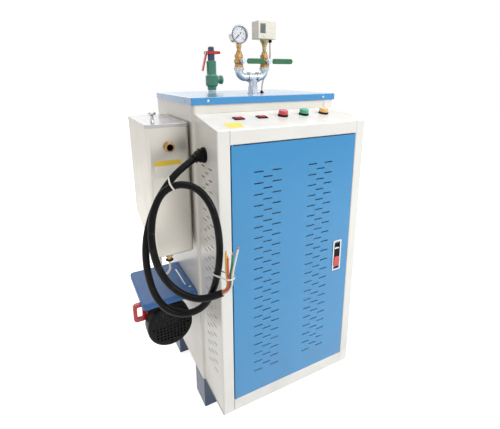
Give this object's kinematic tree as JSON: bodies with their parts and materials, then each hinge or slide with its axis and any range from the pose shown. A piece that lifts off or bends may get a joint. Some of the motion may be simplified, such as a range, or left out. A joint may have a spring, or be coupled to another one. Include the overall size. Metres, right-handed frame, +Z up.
{
  "type": "industrial boiler",
  "caption": "Electric steam boiler: a closed sheet-metal housing on legs, with a slotted control cabinet, feed tank and pump, safety valve and pressure controls.",
  "frame": {"origin": "middle of the footprint on the floor, without the free cable at its left side", "axes": "+X to the right along the front, +Y from the cabinet's door to the back, +Z up"},
  "size_m": [0.717, 0.6372, 1.32],
  "materials": {
    "housing_paint": "satin powder coat, off white",
    "blue_paint": "satin powder coat, blue",
    "frame_paint": "satin powder coat, pale warm grey",
    "leg_paint": "satin paint, dark navy blue",
    "shelf_paint": "satin paint, blue",
    "tank_steel": "satin stainless sheet",
    "steel": "bare steel",
    "zinc_steel": "bright zinc plating",
    "chrome": "polished chrome",
    "brass": "turned brass",
    "valve_green": "grey-green valve coating",
    "grip_green": "green dipped plastic",
    "red_plastic": "red plastic",
    "green_plastic": "green lamp lens",
    "amber_plastic": "amber lamp lens",
    "black_plastic": "black plastic",
    "grey_plastic": "dull grey plastic",
    "cream_plastic": "cream plastic",
    "white_plastic": "white plastic",
    "blue_enamel": "dark blue enamel",
    "red_enamel": "gloss red enamel",
    "motor_paint": "blue motor enamel",
    "cable_rubber": "black cable sheath",
    "dial_white": "printed dial behind glass",
    "window_glass": "dark window"
  },
  "bodies": {
    "boiler": {"body_left_panel": "housing_paint", "body_right_panel": "housing_paint", "body_front_panel": "housing_paint", "body_back_panel": "housing_paint", "body_base": "housing_paint", "top_lid": "blue_paint", "legs": "leg_paint", "cabinet_left_panel": "frame_paint", "cabinet_right_panel": "frame_paint", "control_panel": "frame_paint", "cabinet_base": "frame_paint", "switch_bezels": "black_plastic", "lamp_rings": "black_plastic", "red_lamp": "red_plastic", "green_lamp": "green_plastic", "amber_lamp": "amber_plastic", "tank_shell": "tank_steel", "tank_lid": "tank_steel", "tank_knob": "chrome", "water_inlet": "brass", "tank_brackets": "steel", "tank_outlet": "brass", "feed_pipe": "white_plastic", "pump_shelf": "shelf_paint", "pump_motor": "motor_paint", "fan_cover": "black_plastic", "pump_head": "steel", "pump_handle": "red_enamel", "cable_gland": "black_plastic", "cable_ties": "white_plastic", "power_cable": "cable_rubber", "wire_red": "red_plastic", "wire_yellow": "amber_plastic", "wire_green": "green_plastic", "wire_white": "white_plastic", "lid_nipples": "zinc_steel", "safety_valve": "valve_green", "safety_cap": "blue_enamel", "steam_tee": "zinc_steel", "steam_elbows": "zinc_steel", "ball_valves": "brass", "gauge_stem": "brass", "gauge_case": "chrome", "gauge_dial": "dial_white", "controller_stem": "brass", "pressure_controller": "cream_plastic", "controller_window": "window_glass", "controller_wire": "grey_plastic", "wire_glands": "black_plastic"},
    "door_leaf": {"door": "blue_paint", "lock_frame": "chrome", "lock_button": "red_plastic", "lock_lever": "black_plastic"},
    "gauge_cock_handle": {"gauge_lever": "steel", "gauge_grip": "grip_green"},
    "controller_cock_handle": {"controller_lever": "steel", "controller_grip": "grip_green"},
    "safety_valve_lever": {"safety_lever": "red_enamel"},
    "left_rocker": {"switch_rocker_1": "red_plastic"},
    "right_rocker": {"switch_rocker_2": "red_plastic"}
  },
  "joints": [
    {"name": "door_hinge", "type": "hinge", "parent": "boiler", "child": "door_leaf", "pos_m": [-0.1065, -0.26925, 0.57], "axis": [0, 0, -1], "range_deg": [0, 90]},
    {"name": "gauge_cock", "type": "hinge", "parent": "boiler", "child": "gauge_cock_handle", "pos_m": [0.0475, -0.03205, 1.1935], "axis": [0, -1, 0], "range_deg": [0, 90]},
    {"name": "controller_cock", "type": "hinge", "parent": "boiler", "child": "controller_cock_handle", "pos_m": [0.1425, -0.03205, 1.1935], "axis": [0, -1, 0], "range_deg": [0, 90]},
    {"name": "safety_lever_pin", "type": "hinge", "parent": "boiler", "child": "safety_valve_lever", "pos_m": [0.0425, 0.16525, 1.2275], "axis": [0, 1, 0], "range_deg": [0, 15]},
    {"name": "left_rocker_pivot", "type": "hinge", "parent": "boiler", "child": "left_rocker", "pos_m": [-0.0445, -0.18215, 1.03269], "axis": [1, 0, 0], "range_deg": [0, 16]},
    {"name": "right_rocker_pivot", "type": "hinge", "parent": "boiler", "child": "right_rocker", "pos_m": [0.031, -0.18215, 1.03269], "axis": [1, 0, 0], "range_deg": [0, 16]}
  ]
}
